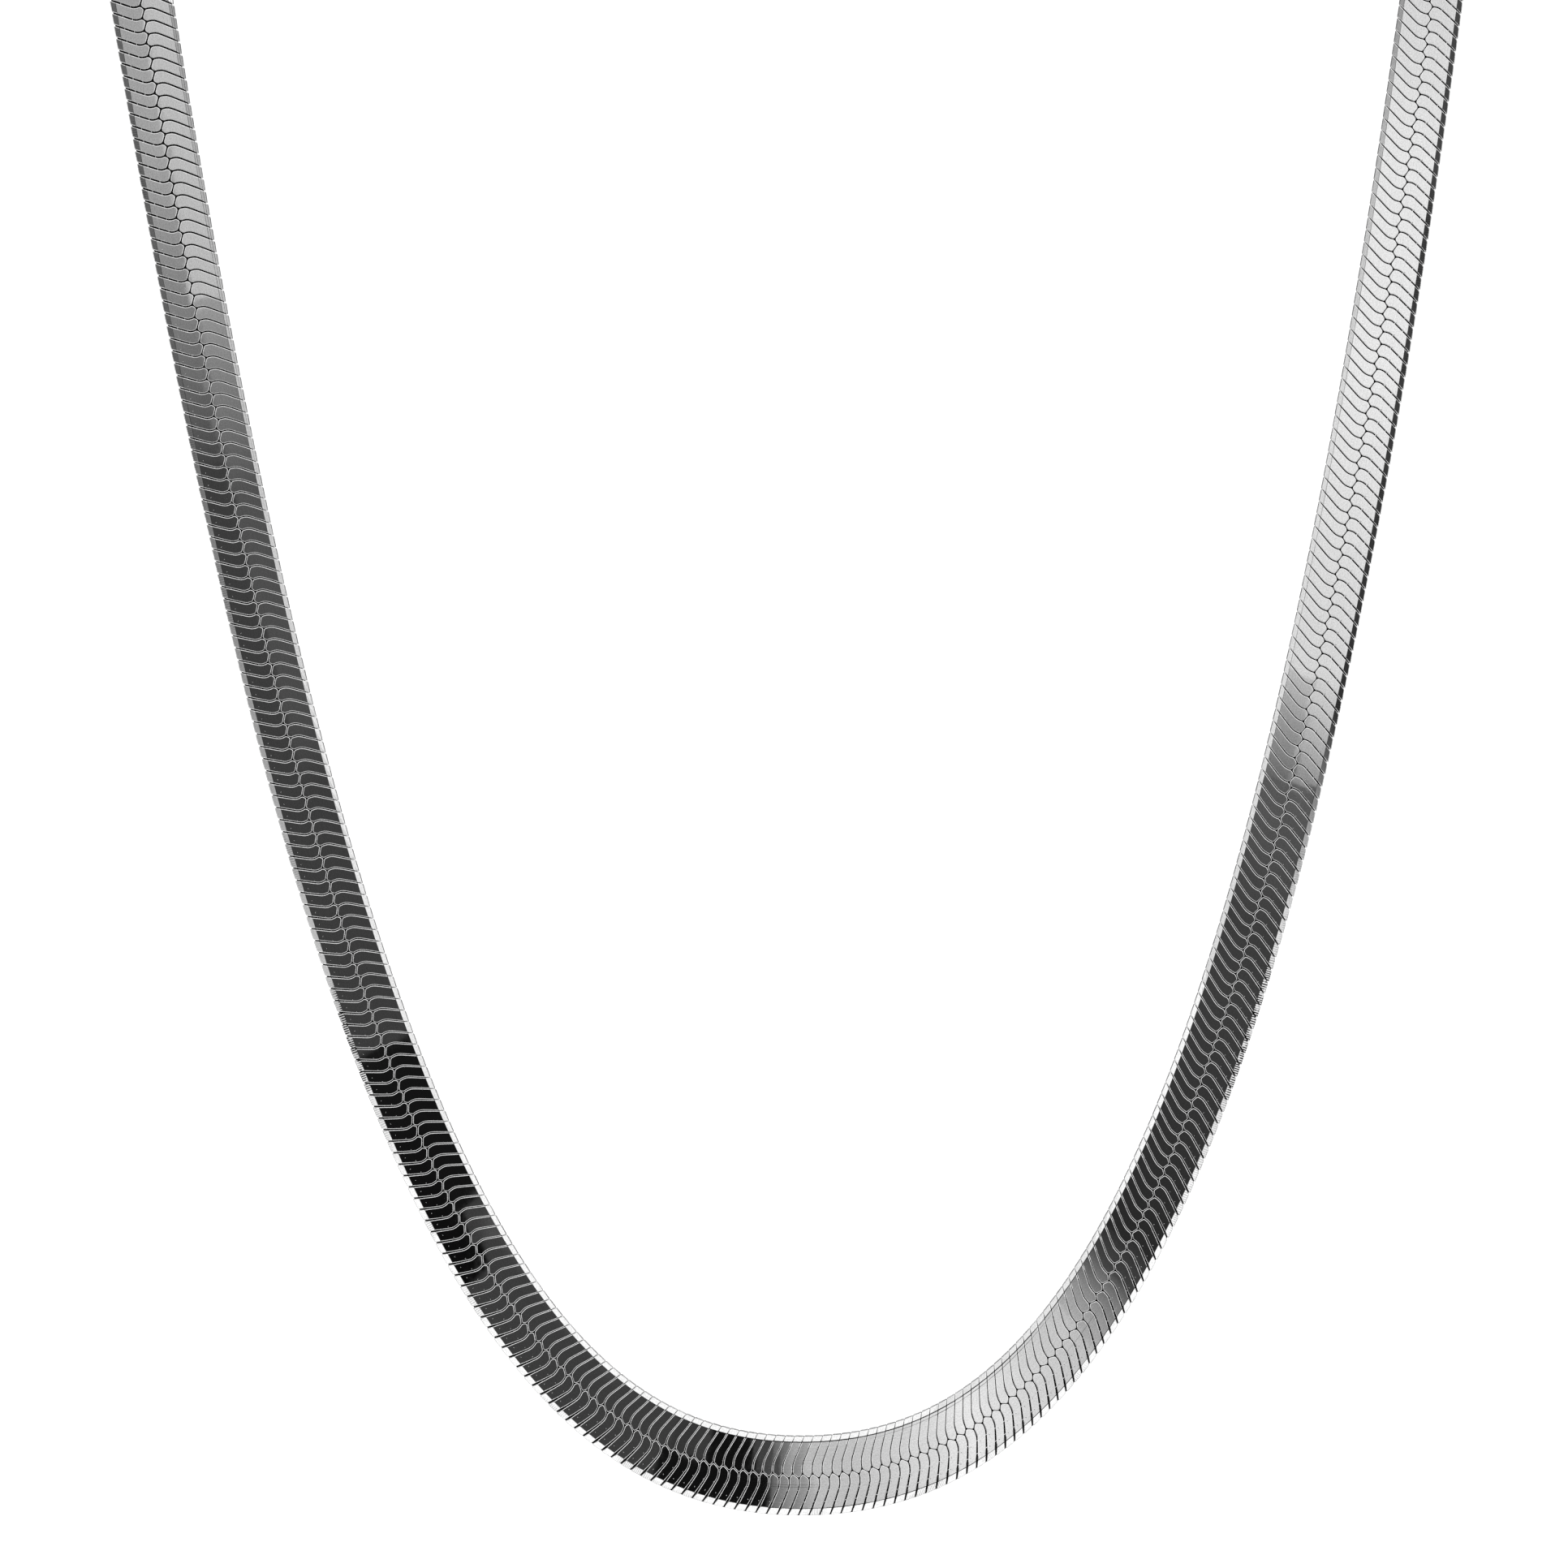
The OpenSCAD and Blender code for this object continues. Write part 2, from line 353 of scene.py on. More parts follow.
def tongues(path, outer, numbers, seed):
    """Vertices, faces, materials, smoothness and places of one column's tongues, by link numbers."""
    outline, crease, gaps, cuts = tongue_outline(outer)
    count = len(numbers)
    link_distance = (np.asarray(numbers)[:, None] + outline[None, :, 0]) * LINK_PITCH
    side = outline[None, :, 1]
    spot = at(path, "middle", link_distance) + side[..., None] * at(path, "reach", link_distance)

    # Each tongue is rigid and flat, so its points are laid in its own plane
    centre_distance = (np.asarray(numbers) + (OUTER_MIDDLE if outer else INNER_MIDDLE)) * LINK_PITCH
    reach = at(path, "reach", centre_distance)
    origin = at(path, "middle", centre_distance)
    facing = unit(at(path, "facing", centre_distance))
    along = unit(at(path, "along", centre_distance))
    along = unit(along - (along * facing).sum(1, keepdims=True) * facing)
    outward = np.cross(along, facing)
    local = spot - origin[:, None]
    flat_points = np.stack([(local * along[:, None]).sum(-1), (local * outward[:, None]).sum(-1)], -1)

    # Half of the gap to each neighbour, wider on the outer side where the band bends on edge
    bend = at(path, "bend", link_distance)
    opening = BEND_PLAY * LINK_PITCH * bend * side * np.abs(side) * BOTTOM_W / 2
    opening += LEFT_PLAY * np.interp(link_distance / LINK_PITCH, LEFT_PLAY_LINKS, (1, 0))
    gap = np.maximum((gaps + opening) / at(path, "stretch", link_distance), LEAST_GAP) / 2
    gap = np.where(gaps > 0, gap, 0)
    base = round_corners(inset(flat_points, gap, crease), cuts)

    # Where the crease comes once the corners are rounded
    pieces = np.where(cuts > 0, len(CORNER_STEPS), 1)
    corners = pieces.sum()
    starts = np.cumsum(pieces) - pieces
    crease_a, crease_b = starts[crease[0]], starts[crease[1]]

    # Height of the face, which drops past the crease
    half_w = (reach * outward).sum(1)[:, None]
    sign = 1.0 if outer else -1.0
    crease_share = 1 - 2 * (OUTER_BEVEL if outer else INNER_BEVEL)
    drop = OUTER_DROP if outer else INNER_DROP

    def height(flat):
        share = sign * flat[..., 1] / half_w
        share[:, [crease_a, crease_b]] = crease_share
        return BAND_T / 2 - np.maximum(share - crease_share, 0) * drop

    rings = []
    for angle in np.radians(EDGE_ANGLES):
        sine, cosine = math.sin(angle), math.cos(angle)
        ring = inset(base, np.full(base.shape[:2], EDGE_ROUND * (1 - sine)), (crease_a, crease_b))
        rings.append((ring, height(ring) - EDGE_ROUND * (1 - cosine)))
    levels = rings + [(flat, -h) for flat, h in rings[::-1]]

    # A slight tilt of each tongue
    rng = np.random.default_rng(seed)
    roll, pitch = np.radians([[LOOSE_ROLL], [LOOSE_TILT]] * rng.normal(0, 1, (2, count)))
    middle_2d = flat_points.mean(1)
    # Beside each vertex its place on the band, for the marks that making and polishing leave
    verts, spots = [], []
    stretch = at(path, "stretch", centre_distance)[:, None]
    for flat, h in levels:
        off = flat - middle_2d[:, None]
        lift = off[..., 1] * roll[:, None] + off[..., 0] * pitch[:, None]
        p = origin[:, None] + flat[..., :1] * along[:, None] + flat[..., 1:] * outward[:, None]
        verts.append(p + (h + lift)[..., None] * facing[:, None])
        along_band = centre_distance[:, None] + flat[..., 0] * stretch
        spots.append(np.stack([along_band, flat[..., 1] / half_w * BOTTOM_W / 2], -1))
    verts = np.stack(verts, 1).reshape(-1, 3)
    spots = np.stack(spots, 1).reshape(-1, 2)

    faces, materials, smooth = tongue_faces(count, len(rings), corners, crease_a, crease_b)
    # The two columns' outlines run opposite ways round, so one of them is turned to face outward
    if outer:
        faces = [face[::-1] for face in faces]
    return verts, faces, materials, smooth, spots


def tongue_faces(count, rings, corners, crease_a, crease_b):
    """Faces, materials and smoothness of so many tongues, with so many rings down to their middle.

    The walls that face the gaps take the dark gap metal, a painted shade, and those at the band's edge
    do not.
    """
    levels, wall_ring = 2 * rings, rings - 1
    end_walls = set(range(crease_b + 1, corners))
    top_faces = [
        list(range(crease_a, crease_b + 1)),
        list(range(crease_b, corners)) + list(range(crease_a + 1)),
    ]
    faces, materials, smooth = [], [], []
    for tongue in range(count):
        start = [(tongue * levels + r) * corners for r in range(levels)]
        for face in top_faces:
            faces.append([start[0] + i for i in face])
            faces.append([start[-1] + i for i in face[::-1]])
            materials += [0, 0]
            smooth += [False, False]
        for r in range(levels - 1):
            for i in range(corners):
                k = (i + 1) % corners
                faces.append([start[r] + k, start[r] + i, start[r + 1] + i, start[r + 1] + k])
                # Slot 1, on the walls that face the gaps, is the painted gap shade
                materials.append(1 if r == wall_ring and i not in end_walls else 0)
                smooth.append(r != wall_ring)
    return faces, materials, smooth


def link_numbers(path):
    """The numbers of all links that lie wholly between the band's two ends."""
    reach_along = (1 + INNER_LINE["lean"]) * LINK_PITCH
    first = math.ceil((path["links"][0] + reach_along) / LINK_PITCH)
    last = math.floor((path["links"][-1] - reach_along) / LINK_PITCH) - 1
    return np.arange(first, last + 1)


def piece_of(path, number):
    """The name of the piece that a link belongs to."""
    p = at(path, "middle", np.array([(number + 0.5) * LINK_PITCH]))[0]
    side = "left" if p[0] < 0 else "right"
    if p[1] > FRONT_Y + HAIR:
        return "shoulder_" + side
    return "lower_curve" if p[2] < LOWEST_Z + LOWER_CURVE_SHARE * FRONT_DROP else "strand_" + side


def make_links(path, materials):
    """All the links, joined into one mesh for each stretch of the band."""
    groups = {name: [] for name in PIECES}
    for number in link_numbers(path):
        groups[piece_of(path, number)].append(number)
    for index, (name, numbers) in enumerate(groups.items()):
        verts, faces, slots, smooth, spots = [], [], [], [], []
        for outer in (True, False):
            made = tongues(path, outer, numbers, 10 * index + outer)
            base = sum(len(part) for part in verts)
            verts.append(made[0])
            faces += [[i + base for i in face] for face in made[1]]
            slots += made[2]
            smooth += made[3]
            spots.append(made[4])
        mesh = bpy.data.meshes.new("links_" + name)
        mesh.from_pydata(np.concatenate(verts).tolist(), [], faces)
        for material in materials:
            mesh.materials.append(material)
        mesh.polygons.foreach_set("material_index", slots)
        mesh.polygons.foreach_set("use_smooth", smooth)
        corner_verts = np.empty(len(mesh.loops), dtype=np.int32)
        mesh.loops.foreach_get("vertex_index", corner_verts)
        layer = mesh.uv_layers.new(name="along_band")
        layer.uv.foreach_set("vector", np.concatenate(spots)[corner_verts].ravel())
        mesh.update()
        add_piece(mesh, "links_" + name, "chain")


def make_shade_core(path, material):
    """A dark sheet through the middle of the links, which closes the view through the gaps and shows in
    them as painted shade.
    """
    numbers = link_numbers(path)
    distance = np.arange(numbers[0], numbers[-1] + 2) * LINK_PITCH
    share = np.interp(at(path, "stretch", distance), (1, 1 / SIDE_RATIO), CORE_SHARES)[:, None]
    middle, reach = at(path, "middle", distance), at(path, "reach", distance) * share
    facing = unit(at(path, "facing", distance)) * CORE_HALF_T
    ring = [(-1, 1), (1, 1), (1, -1), (-1, -1)]
    verts = np.stack([middle + u * reach + h * facing for u, h in ring], 1).reshape(-1, 3)
    faces = []
    for i in range(len(distance) - 1):
        a, b = 4 * i, 4 * i + 4
        faces += [[a + j, a + (j + 1) % 4, b + (j + 1) % 4, b + j] for j in range(4)]
    faces += [[3, 2, 1, 0], [4 * len(distance) - 4 + j for j in range(4)]]
    mesh = bpy.data.meshes.new("gap_shade_core")
    mesh.from_pydata(verts.tolist(), [], faces)
    mesh.materials.append(material)
    add_piece(mesh, "gap_shade_core", "chain")


def make_wires(path, material):
    """Fine wires through the links, just under both faces, which show as dots in the gaps."""
    numbers = link_numbers(path)
    distance = np.arange(numbers[0], numbers[-1] + 2) * LINK_PITCH
    middle, reach = at(path, "middle", distance), at(path, "reach", distance)
    facing, outward = unit(at(path, "facing", distance)), unit(reach)
    sides, count = WIRE_SIDES, len(distance)
    angles = 2 * np.pi * np.arange(sides) / sides
    verts, faces = [], []
    for share in WIRE_SHARES:
        for height in (BAND_T / 2 - WIRE_DEPTH, WIRE_DEPTH - BAND_T / 2):
            start = len(verts) * sides * count
            centre = middle + share * reach + height * facing
            verts.append(np.stack([
                centre + WIRE_RADIUS * (math.cos(a) * outward - math.sin(a) * facing) for a in angles
            ], 1).reshape(-1, 3))
            for i in range(count - 1):
                a, b = start + sides * i, start + sides * (i + 1)
                faces += [[a + j, a + (j + 1) % sides, b + (j + 1) % sides, b + j] for j in range(sides)]
            faces.append([start + j for j in reversed(range(sides))])
            faces.append([start + sides * (count - 1) + j for j in range(sides)])
    mesh = bpy.data.meshes.new("link_wires")
    mesh.from_pydata(np.concatenate(verts).tolist(), [], faces)
    mesh.materials.append(material)
    add_piece(mesh, "link_wires", "chain")


def add_piece(mesh, name, node):
    """A new piece of the object that stands for a CAD node."""
    obj = bpy.data.objects.new(name, mesh)
    bpy.context.scene.collection.objects.link(obj)
    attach(obj, "root")
    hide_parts(node)


# Materials


def new_material(name):
    material = bpy.data.materials.new(name)
    material.use_nodes = True
    nodes = material.node_tree.nodes
    shader = next(n for n in nodes if n.type == "BSDF_PRINCIPLED")
    return material, nodes, material.node_tree.links, shader


def ramp(nodes, links, source, low, high, low_value, high_value):
    """A value that goes from low_value to high_value while the source goes from low to high."""
    node = nodes.new("ShaderNodeMapRange")
    node.inputs["From Min"].default_value = low
    node.inputs["From Max"].default_value = high
    node.inputs["To Min"].default_value = low_value
    node.inputs["To Max"].default_value = high_value
    links.new(source, node.inputs["Value"])
    return node.outputs["Result"]


def calc(nodes, links, operation, *values):
    """The result of a maths node on sockets or numbers."""
    node = nodes.new("ShaderNodeMath")
    node.operation = operation
    for socket, value in zip(node.inputs, values):
        if isinstance(value, (int, float)):
            socket.default_value = value
        else:
            links.new(value, socket)
    return node.outputs["Value"]


def noise(nodes, links, place, scale, detail=3):
    """Soft random values from 0 to 1, with features of one over the scale."""
    node = nodes.new("ShaderNodeTexNoise")
    node.inputs["Scale"].default_value = scale
    node.inputs["Detail"].default_value = detail
    links.new(place, node.inputs["Vector"])
    return node.outputs["Fac"]


def scaled(nodes, links, place, factors):
    """Coordinates stretched by a factor on each axis."""
    node = nodes.new("ShaderNodeVectorMath")
    node.operation = "MULTIPLY"
    node.inputs[1].default_value = factors
    links.new(place, node.inputs[0])
    return node.outputs["Vector"]


def hairline(nodes, links, across, middle, half_width):
    """One along the line where across is at its middle, fading to none at its half width."""
    away = calc(nodes, links, "ABSOLUTE", calc(nodes, links, "SUBTRACT", across, middle))
    return ramp(nodes, links, away, 0.4 * half_width, half_width, 1, 0)


def patches(nodes, links, place, factors, detail=2):
    """Soft random values from 0 to 1, with about so many features to a metre along and across."""
    return noise(nodes, links, scaled(nodes, links, place, (*factors, 0)), 1, detail)


def stretch_of(nodes, links, along, middle, half_length):
    """One in the middle of a stretch of the band, given in links, fading to none at its ends."""
    return hairline(nodes, links, along, middle * LINK_PITCH, half_length * LINK_PITCH)


def combine(nodes, links, operation, values):
    """The sum or product of some values."""
    result = values[0]
    for value in values[1:]:
        result = calc(nodes, links, operation, result, value)
    return result


def chain_metal():
    """Mirror-polished silver with the marks of rolling, filing and wiping on the links.

    The marks follow the band through its UV map, which holds metres along the links and across.
    """
    material, nodes, links, shader = new_material("chain_metal")
    shader.inputs["Metallic"].default_value = 1.0
    uv = nodes.new("ShaderNodeUVMap")
    uv.uv_map = "along_band"
    place = uv.outputs["UV"]
    split = nodes.new("ShaderNodeSeparateXYZ")
    links.new(place, split.inputs["Vector"])
    along, across = split.outputs["X"], split.outputs["Y"]
    half = BOTTOM_W / 2

    # Lines along the creases and the inner edge, broken up here and there, and scratches
    lines = []
    for share, half_width, darkness, middle, half_length in BAND_LINES:
        line = hairline(nodes, links, across, share * half, half_width * MM)
        stretch = stretch_of(nodes, links, along, middle, half_length)
        lines.append(combine(nodes, links, "MULTIPLY", [line, stretch, darkness]))
    broken = ramp(nodes, links, patches(nodes, links, place, (300, 0), 3), 0.3, 0.55, 0.35, 1)
    rolled = calc(nodes, links, "MULTIPLY", combine(nodes, links, "ADD", lines), broken)

    # File teeth across the outer bevel, cut deep on two stretches and faint in patches elsewhere
    stray = ramp(nodes, links, patches(nodes, links, place, (600, 0)), 0, 1, 0, TOOTH_STRAY)
    teeth = calc(nodes, links, "PINGPONG", calc(nodes, links, "ADD", along, stray), TOOTH / 2)
    teeth = ramp(nodes, links, teeth, 0.18 * TOOTH, 0.32 * TOOTH, 0, 1)
    crease = (1 - 2 * OUTER_BEVEL) * half
    on_bevel = ramp(nodes, links, across, crease, crease + 0.1 * OUTER_BEVEL * half, 0, 1)
    uneven = ramp(nodes, links, patches(nodes, links, place, (900, 1200)), 0.42, 0.58, 0.3, 2)
    faint = ramp(nodes, links, patches(nodes, links, place, (160, 400)), 0.5, 0.62, 0, 0.3)
    stretches = [stretch_of(nodes, links, along, *stretch) for stretch in FILED_STRETCHES]
    deep = calc(nodes, links, "MULTIPLY", combine(nodes, links, "ADD", stretches), uneven)
    depth = calc(nodes, links, "ADD", faint, deep)
    filed = combine(nodes, links, "MULTIPLY", [teeth, on_bevel, depth, 0.97])

    # Grain, and faint streaks along the band
    grain = ramp(nodes, links, noise(nodes, links, place, 7000), 0.3, 0.7, 0, 0.28)
    streaks = ramp(nodes, links, patches(nodes, links, place, (500, 9000)), 0.35, 0.65, 0, 0.07)
    dark = combine(nodes, links, "ADD", [grain, streaks, rolled, filed])
    colours = nodes.new("ShaderNodeValToRGB")
    colours.color_ramp.elements[0].color = (1, 1, 1, 1)
    colours.color_ramp.elements[1].color = (0.02, 0.02, 0.02, 1)
    links.new(dark, colours.inputs["Fac"])
    links.new(colours.outputs["Color"], shader.inputs["Base Color"])

    # Two rows of punch marks
    in_link = calc(nodes, links, "FRACT", calc(nodes, links, "DIVIDE", along, LINK_PITCH))
    rough = [ramp(nodes, links, noise(nodes, links, place, 1500, 4), 0.4, 0.7, 0.008, 0.02)]
    for share, step in PUNCH_MARKS:
        dx = calc(nodes, links, "MULTIPLY", calc(nodes, links, "SUBTRACT", in_link, step), LINK_PITCH)
        dy = calc(nodes, links, "SUBTRACT", across, share * half)
        squares = [calc(nodes, links, "MULTIPLY", d, d) for d in (dx, dy)]
        away = calc(nodes, links, "SQRT", combine(nodes, links, "ADD", squares))
        rough.append(ramp(nodes, links, away, *PUNCH_RADII, 0.22, 0))
    links.new(combine(nodes, links, "ADD", rough), shader.inputs["Roughness"])
    return material


def fitting_metal():
    """Mirror-polished silver of the caps, the clasp and the wires, with fine wipe marks and specks."""
    material, nodes, links, shader = new_material("fitting_metal")
    shader.inputs["Base Color"].default_value = (0.88, 0.885, 0.89, 1)
    shader.inputs["Metallic"].default_value = 1.0
    coords = nodes.new("ShaderNodeTexCoord").outputs["Object"]
    haze = noise(nodes, links, coords, 260, 5)
    links.new(ramp(nodes, links, haze, 0.35, 0.7, 0.02, 0.08), shader.inputs["Roughness"])
    bump = nodes.new("ShaderNodeBump")
    bump.inputs["Strength"].default_value = 0.05
    bump.inputs["Distance"].default_value = 0.03 * MM
    links.new(noise(nodes, links, coords, 5200), bump.inputs["Height"])
    links.new(bump.outputs["Normal"], shader.inputs["Normal"])
    return material


def gap_shade_metal():
    """Metal in the gaps, dulled and near black: painted shade for the depth of the gaps."""
    material, nodes, links, shader = new_material("gap_shade_metal")
    shader.inputs["Metallic"].default_value = 0.6
    shader.inputs["Roughness"].default_value = 0.65
    coords = nodes.new("ShaderNodeTexCoord").outputs["Object"]
    # Near-black colour that varies a little at random, painted as the shade deep in the gaps
    colours = nodes.new("ShaderNodeValToRGB")
    colours.color_ramp.elements[0].color = (0.008, 0.008, 0.009, 1)
    colours.color_ramp.elements[1].color = (0.03, 0.029, 0.028, 1)
    links.new(noise(nodes, links, coords, 900, 2), colours.inputs["Fac"])
    links.new(colours.outputs["Color"], shader.inputs["Base Color"])
    return material


# Stage


def floor_material():
    """A matt white surface."""
    material, _, _, shader = new_material("floor")
    shader.inputs["Base Color"].default_value = (0.9, 0.9, 0.9, 1)
    shader.inputs["Roughness"].default_value = 0.9
    return material


def card_material(name, levels, feather):
    """Light from a card, graded from its lower to its upper edge, that fades out near its edges."""
    material = bpy.data.materials.new(name)
    material.use_nodes = True
    nodes, links = material.node_tree.nodes, material.node_tree.links
    nodes.clear()
    split = nodes.new("ShaderNodeSeparateXYZ")
    links.new(nodes.new("ShaderNodeTexCoord").outputs["UV"], split.inputs["Vector"])
    light = nodes.new("ShaderNodeEmission")
    links.new(ramp(nodes, links, split.outputs["Y"], 0, 1, *levels), light.inputs["Strength"])
    output = nodes.new("ShaderNodeOutputMaterial")
    sides = []
    for axis, (start, end) in (("X", feather[:2]), ("Y", feather[2:])):
        if start:
            sides.append(ramp(nodes, links, split.outputs[axis], 0, start, 0, 1))
        if end:
            sides.append(ramp(nodes, links, split.outputs[axis], 1 - end, 1, 1, 0))
    if not sides:
        links.new(light.outputs["Emission"], output.inputs["Surface"])
        return material
    for side in sides:
        side.node.interpolation_type = "SMOOTHSTEP"
    mix = nodes.new("ShaderNodeMixShader")
    links.new(combine(nodes, links, "MULTIPLY", sides), mix.inputs["Fac"])
    links.new(nodes.new("ShaderNodeBsdfTransparent").outputs["BSDF"], mix.inputs[1])
    links.new(light.outputs["Emission"], mix.inputs[2])
    links.new(mix.outputs["Shader"], output.inputs["Surface"])
    return material


def card(name, corners, levels, feather=(0, 0, 0, 0)):
    """A flat studio card that only reflections see. Corners go round from its lower left.

    levels are its light at the lower and upper edge, and feather the shares of its width and height
    over which it fades at the left, right, lower and upper edge.
    """
    mesh = bpy.data.meshes.new(name)
    mesh.from_pydata([tuple(c) for c in corners], [], [[0, 1, 2, 3]])
    uv = mesh.uv_layers.new(name="card")
    for i, spot in enumerate(((0, 0), (1, 0), (1, 1), (0, 1))):
        uv.data[i].uv = spot
    mesh.materials.append(card_material(name, levels, feather))
    obj = bpy.data.objects.new(name, mesh)
    bpy.context.scene.collection.objects.link(obj)
    obj.visible_camera = False
    obj.visible_diffuse = False
    obj.visible_shadow = False


def front_place(px, py):
    """X and Z in the front stretch's plane of a place in the photograph."""
    right, up = (px - MIDDLE_PX) * PIXEL, (LOWEST_PX - py) * PIXEL
    sine, cosine = math.sin(CAMERA_ROLL), math.cos(CAMERA_ROLL)
    return right * cosine + up * sine, LOWEST_Z + up * cosine - right * sine


def mirror_spot(x, z, behind):
    """Where a card so far behind the camera shows at a place in the front stretch's plane."""
    camera_x, camera_z = front_place(FRAME_PIXELS / 2, FRAME_PIXELS / 2)
    gain = (CAMERA_AWAY + behind) / CAMERA_AWAY
    return (x + (x - camera_x) * gain, CAMERA_Y - behind, z + (z - camera_z) * gain)


def board_card(name, left, right, upper, lower, light):
    """A card behind the camera, given by where its edges show in the photograph's front stretch."""
    spots = ((left, lower), (right, lower), (right, upper), (left, upper))
    corners = [mirror_spot(*front_place(px, py), BOARD_BEHIND) for px, py in spots]
    card(name, corners, (light, light))


def band_card(path, name, ends, across, levels, feather, behind):
    """A card behind the camera that shows in one stretch of the band, between two link numbers.

    across gives its two sides as shares of the half width, and levels its light at the two ends.
    """
    spots = []
    for end, shares in zip(ends, (across, across[::-1])):
        distance = np.array([end * LINK_PITCH])
        middle, reach = (at(path, key, distance)[0] for key in ("middle", "reach"))
        spots += [middle + share * reach for share in shares]
    card(name, [mirror_spot(x, z, behind) for x, _, z in spots], levels, feather)


def flat_card(name, start, end, levels, feather):
    """A card square to an axis, from its first corner to the opposite one."""
    wide, high = [i for i in range(3) if start[i] != end[i]]
    second, fourth = list(start), list(start)
    second[wide] = end[wide]
    fourth[high] = end[high]
    card(name, [start, second, end, fourth], levels, feather)


# The cards behind all others: where their edges show in the photo, in its pixels, and their light.
# The topmost link on the left already turns up over the shoulder, and looks past the first board
BOARD_BEHIND = 0.08
BOARDS = {
    "board": {"left": -150, "right": 2100, "upper": -500, "lower": 2050, "light": 0.054},
    "panel_left_top": {"left": -600, "right": 300, "upper": -1100, "lower": -500, "light": 0.42},
}
# The band cards stand one in front of the other, by this much each
BAND_BEHIND, BEHIND_STEP = 0.07, 0.002
# The cards along the front stretch: link numbers, sides across, light at both ends, and feathering
# at the inner side, the outer side and both ends
WIDE, OUTER, INNER = (-2.2, 2.2), (0.0, 2.2), (-2.2, 0.05)
BAND_CARDS = {
    "panel_left": ((-165, -131), WIDE, (0.42, 0.43), (0, 0, 0, 0)),
    "slope_left": ((-131, -106), WIDE, (0.43, 0.06), (0, 0, 0, 0)),
    "panel_left_inner": ((-156, -134), INNER, (0.61, 0.6), (0, 0.02, 0, 0)),
    "panel_left_inner_low": ((-134, -118.5), INNER, (0.6, 0.59), (0, 0.02, 0, 0)),
    "slope_left_inner": ((-118.5, -104), INNER, (0.37, 0.1), (0, 0.02, 0, 0)),
    "glow_left": ((-104, -79), INNER, (0.1, 0.075), (0, 0.02, 0, 0.2)),
    "flag_left": ((-57.5, -37.3), OUTER, (0.01, 0.004), (0.02, 0, 0.03, 0.03)),
    "flag_left_inner": ((-57.5, -42.3), INNER, (0.009, 0.008), (0, 0, 0.03, 0.03)),
    "glow_low": ((-41, -18), (-2.2, -0.3), (0.09, 0.07), (0, 0.2, 0.1, 0.3)),
    "flag_low": ((-14.3, -2.9), OUTER, (0.006, 0.006), (0, 0, 0.04, 0.02)),
    "grey_low_inner": ((-14.3, -2.9), INNER, (0.04, 0.07), (0, 0, 0.04, 0.02)),
    "flag_low_inner": ((-9.6, -5.9), INNER, (0.006, 0.006), (0, 0, 0.05, 0.05)),
    "panel_low": ((-2.9, 0.5), WIDE, (0.15, 0.55), (0, 0, 0, 0)),
    "panel_low_even": ((0.5, 5), WIDE, (0.6, 0.65), (0, 0, 0, 0)),
    "panel_low_bright": ((5, 17), WIDE, (0.65, 0.97), (0, 0, 0, 0)),
    "panel_low_fall": ((17, 30.5), WIDE, (0.97, 0.6), (0, 0, 0, 0)),
    "slope_low": ((30.5, 36), WIDE, (0.5, 0.1), (0, 0, 0, 0)),
    "grey_low": ((36, 39), WIDE, (0.07, 0.035), (0, 0, 0, 0)),
    "board_right": ((39, 62), WIDE, (0.025, 0.055), (0, 0, 0, 0.2)),
    "slope_right": ((67, 78.5), WIDE, (0.055, 0.12), (0, 0, 0, 0)),
    "panel_right_low": ((78.5, 87), OUTER, (0.33, 0.74), (0, 0, 0, 0)),
    "panel_right_inner": ((78.5, 87), INNER, (0.15, 0.58), (0, 0, 0, 0)),
    "panel_right": ((87, 113), WIDE, (0.79, 0.97), (0, 0, 0, 0)),
    "panel_right_high": ((113, 130), WIDE, (0.97, 0.94), (0, 0, 0, 0)),
    "panel_right_top": ((130, 165), WIDE, (0.94, 0.55), (0, 0, 0, 0)),
}
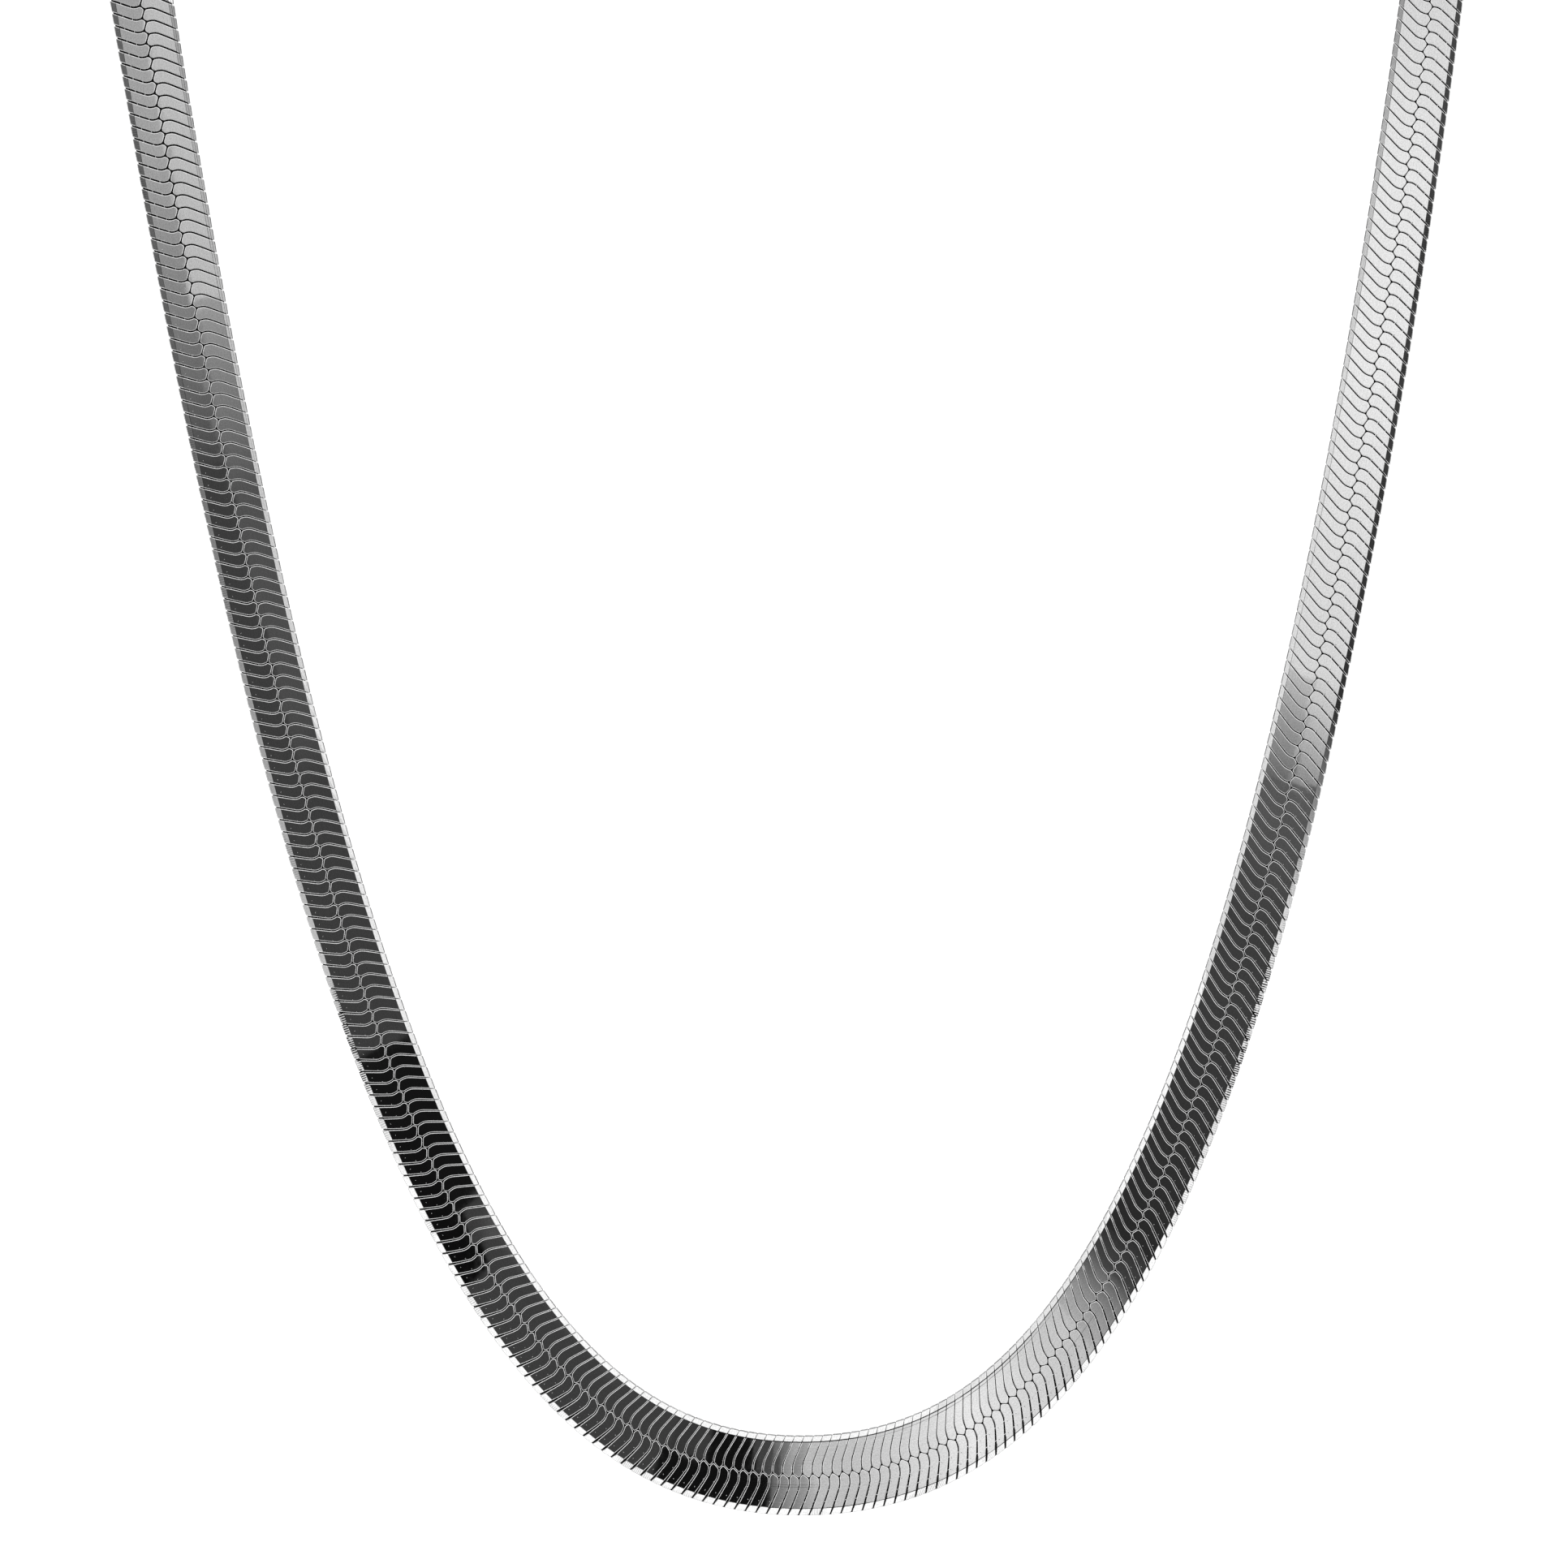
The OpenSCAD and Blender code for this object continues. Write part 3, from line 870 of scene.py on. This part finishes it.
# The cards square to an axis: two opposite corners, light at the lower and upper edge, feathering
FLAT_CARDS = {
    # What the outer bevels of the strands show
    "flag_side_right": ((0.5, -0.45, -0.27), (0.5, -0.2, -0.09), (0.015, 0.06), (0.1, 0, 0.45, 0)),
    "soft_side_right": ((0.5, -0.45, -0.09), (0.5, -0.2, 0.05), (0.065, 0.09), (0.1, 0, 0, 0)),
    "grey_side_left": ((-0.5, -0.45, -0.31), (-0.5, -0.205, -0.125), (0.82, 0.15), (0.1, 0, 0.05, 0)),
    "dark_side_left": ((-0.5, -0.45, -0.125), (-0.5, -0.205, 0.05), (0.14, 0.15), (0.1, 0, 0, 0)),
    # What their inner bevels show
    "grey_side_right": ((0.5, -0.1835, 0.03), (0.5, 0.05, 0.12), (0.9, 0.25), (0.004, 0, 0, 0.1)),
    "pale_side_right": ((0.5, -0.205, -0.1), (0.5, -0.1825, 0.12), (1, 1), (0.2, 0, 0.1, 0.2)),
    "grey_side_far": ((-0.5, -0.183, 0.06), (-0.5, 0.05, 0.12), (0.86, 0.1), (0.004, 0, 0, 0.1)),
    "pale_side_far": ((-0.5, -0.205, -0.1), (-0.5, 0.05, 0.06), (0.97, 0.84), (0.02, 0, 0.1, 0)),
    "grey_side_low": ((-0.5, -0.55, 0.1), (-0.5, -0.215, 0.9), (0.97, 0.92), (0.1, 0.03, 0.05, 0.1)),
    # Grey screens round the sides, the back, the top and the floor, which shape the metal elsewhere
    "screen_left": ((-1.1, -0.1, -0.28), (-1.1, 1.2, 0.9), (0.2, 0.9), (0.3, 0.3, 0.05, 0.3)),
    "screen_right": ((1.1, -0.1, -0.28), (1.1, 1.2, 0.9), (0.2, 0.9), (0.3, 0.3, 0.05, 0.3)),
    "screen_back": ((-0.9, 1.3, -0.28), (0.9, 1.3, 0.9), (0.12, 0.9), (0.3, 0.3, 0.05, 0.3)),
    "screen_top": ((-0.7, -0.25, 1.2), (0.7, 0.9, 1.2), (0.3, 0.9), (0.3, 0.3, 0.1, 0.3)),
    "screen_low": ((-0.7, -1, LOW_Z), (0.7, -0.3, LOW_Z), (0.35, 0.1), (0.2, 0.2, 0.2, 0.02)),
    "pale_low": ((-0.45, -0.22, LOW_Z), (0.45, -0.12, LOW_Z), (1.2, 1.2), (0.1, 0.1, 0.1, 0.1)),
    "screen_low_back": ((-1.15, 0, LOW_Z), (1.15, 1.15, LOW_Z), (0.3, 0.45), (0.1, 0.1, 0.1, 0.05)),
}


def make_cards(path):
    """The light panels and dark flags that polished metal needs, out of the camera's sight."""
    for name, values in BOARDS.items():
        board_card(name, **values)
    for index, (name, values) in enumerate(BAND_CARDS.items()):
        band_card(path, name, *values, BAND_BEHIND - BEHIND_STEP * index)
    for name, values in FLAT_CARDS.items():
        flat_card(name, *values)


def make_floor():
    corners = ((-1, -1), (1, -1), (1, 1), (-1, 1))
    mesh = bpy.data.meshes.new("floor")
    mesh.from_pydata([(x * FLOOR_HALF, y * FLOOR_HALF, FLOOR_Z) for x, y in corners], [], [[0, 1, 2, 3]])
    mesh.materials.append(floor_material())
    obj = bpy.data.objects.new("floor", mesh)
    bpy.context.scene.collection.objects.link(obj)


def make_world():
    world = bpy.data.worlds.new("studio")
    world.use_nodes = True
    background = world.node_tree.nodes["Background"]
    background.inputs["Color"].default_value = (1, 1, 1, 1)
    background.inputs["Strength"].default_value = WORLD_LIGHT
    bpy.context.scene.world = world


def make_camera():
    camera = bpy.data.cameras.new("camera")
    camera.sensor_width = SENSOR
    camera.sensor_fit = "HORIZONTAL"
    camera.lens = SENSOR * CAMERA_AWAY / FRAME_W
    camera.clip_end = CLIP_END
    obj = bpy.data.objects.new("camera", camera)
    x, z = front_place(FRAME_PIXELS / 2, FRAME_PIXELS / 2)
    obj.location = (x, CAMERA_Y, z)
    obj.rotation_euler = (math.radians(90), CAMERA_ROLL, 0)
    bpy.context.scene.collection.objects.link(obj)
    bpy.context.scene.camera = obj
    bpy.context.scene.view_settings.view_transform = "Standard"


def main():
    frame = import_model()
    make_camera()

    path = band_path()
    # The gap metal paints the shade in the gaps, on the walls that face them and on the core
    polished, painted_shade = fitting_metal(), gap_shade_metal()
    make_links(path, [chain_metal(), painted_shade])
    make_shade_core(path, painted_shade)
    make_wires(path, polished)
    for name in ("end_cap_left", "end_cap_right", "clasp"):
        frame["nodes"][name].data.materials.clear()
        frame["nodes"][name].data.materials.append(polished)

    make_world()
    make_floor()
    make_cards(path)


main()
